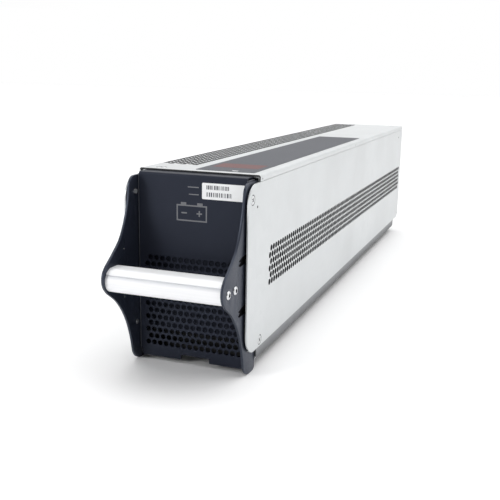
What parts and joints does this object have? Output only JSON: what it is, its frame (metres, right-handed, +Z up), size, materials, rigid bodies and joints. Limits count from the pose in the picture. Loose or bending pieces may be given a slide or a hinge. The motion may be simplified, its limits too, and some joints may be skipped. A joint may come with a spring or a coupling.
{
  "type": "server rack battery module",
  "caption": "Long sheet-metal hot-swap battery module with a grille front, a fixed bar handle between two shaped ears, stacked blocks inside and a floating rear connector.",
  "frame": {"origin": "middle of the bounding box at its lowest level, which is the bottom of the two ears", "axes": "+X across the width to the right seen from the front, +Y along the depth towards the connector end, +Z up"},
  "size_m": [0.112, 0.7625, 0.1698],
  "materials": {
    "galvanised": "galvanised sheet steel, faint spangle, satin",
    "dark_paint": "fine-texture navy charcoal powder coat",
    "aluminium_bar": "satin anodised, brushed along its length",
    "zinc_screw": "bright zinc plate",
    "block_case": "moulded black plastic",
    "contact": "bright contact alloy",
    "lead_red": "insulated red cable",
    "lead_black": "insulated black cable",
    "connector_plastic": "moulded grey plastic",
    "board": "green circuit board",
    "foam": "closed-cell foam strip",
    "insulator": "black insulating plastic sheet",
    "paper_label": "white printed film label",
    "grey_label": "grey printed film label"
  },
  "bodies": {
    "module": {"bottom_tray": "galvanised", "top_cover": "galvanised", "side_plate_right": "galvanised", "side_plate_left": "galvanised", "rear_panel": "galvanised", "front_panel": "dark_paint", "handle_ear_right": "dark_paint", "handle_ear_left": "dark_paint", "handle_bar": "aluminium_bar", "cover_screw_front": "zinc_screw", "cover_screw_rear_left": "zinc_screw", "cover_screw_rear_right": "zinc_screw", "side_screw_right_upper": "zinc_screw", "side_screw_right_lower": "zinc_screw", "side_screw_left_upper": "zinc_screw", "side_screw_left_lower": "zinc_screw", "handle_screw_right_1": "zinc_screw", "handle_screw_right_2": "zinc_screw", "handle_screw_left_1": "zinc_screw", "handle_screw_left_2": "zinc_screw", "rear_screw_1": "zinc_screw", "rear_screw_2": "zinc_screw", "rear_screw_3": "zinc_screw", "rear_screw_4": "zinc_screw", "shoulder_screw_right": "zinc_screw", "shoulder_screw_left": "zinc_screw", "end_bracket": "zinc_screw", "board_post_1": "zinc_screw", "board_post_2": "zinc_screw", "battery_block_1": "block_case", "battery_block_2": "block_case", "battery_block_3": "block_case", "battery_block_4": "block_case", "battery_block_5": "block_case", "battery_block_6": "block_case", "battery_block_7": "block_case", "battery_block_8": "block_case", "lead_positive": "lead_red", "lead_fused": "lead_red", "lead_negative": "lead_black", "block_link_1": "lead_black", "block_link_2": "lead_black", "block_link_3": "lead_black", "block_link_4": "lead_black", "block_link_5": "lead_black", "block_link_6": "lead_black", "block_link_7": "lead_black", "monitor_board": "board", "base_pad": "foam", "top_pad": "foam", "front_baffle": "insulator", "fuse_holder": "insulator", "layer_spacer_left": "insulator", "layer_spacer_right": "insulator", "front_label": "paper_label", "fuse": "paper_label", "top_label": "grey_label"},
    "connector": {"connector_shell": "connector_plastic", "power_contact_positive": "contact", "power_contact_negative": "contact"}
  },
  "joints": [
    {"name": "connector_float", "type": "slide", "parent": "module", "child": "connector", "axis": [1, 0, 0], "range_m": [-0.0015, 0.0015]}
  ]
}
